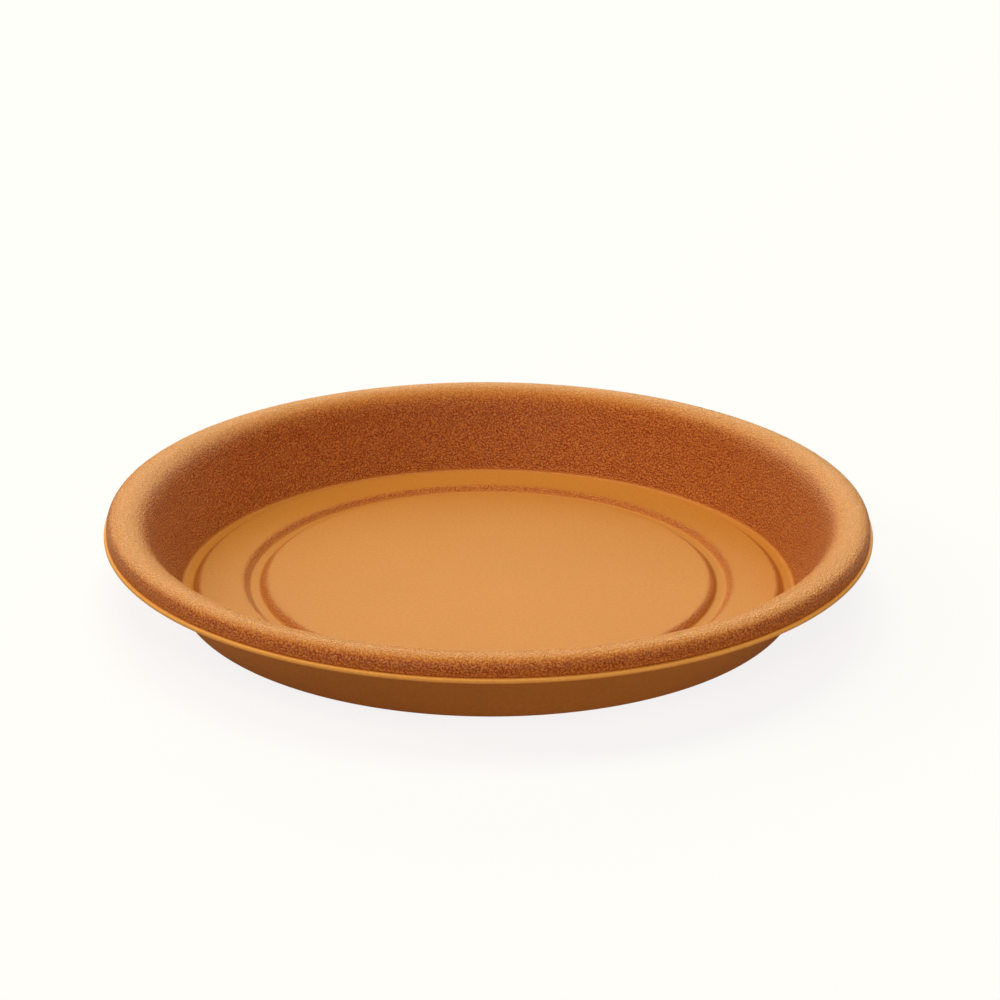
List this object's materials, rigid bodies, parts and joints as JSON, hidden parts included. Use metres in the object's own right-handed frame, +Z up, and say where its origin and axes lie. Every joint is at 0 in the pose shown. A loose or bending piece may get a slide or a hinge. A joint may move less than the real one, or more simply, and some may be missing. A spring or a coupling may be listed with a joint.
{
  "type": "plant saucer",
  "caption": "Shallow round saucer with a stepped floor, outward-leaning wall and broad rolled rim, for standing a potted plant and catching its water.",
  "frame": {"origin": "centre of the base, at the level that the saucer stands on", "axes": "+Z up along the axis of the saucer, which is round, so +X and +Y are any two square directions"},
  "size_m": [0.3, 0.3, 0.0344],
  "materials": {
    "terracotta_polypropylene": "moulded, leather-grained wall and rim, fine matt floor"
  },
  "bodies": {
    "root": {"saucer": "terracotta_polypropylene"}
  },
  "joints": []
}
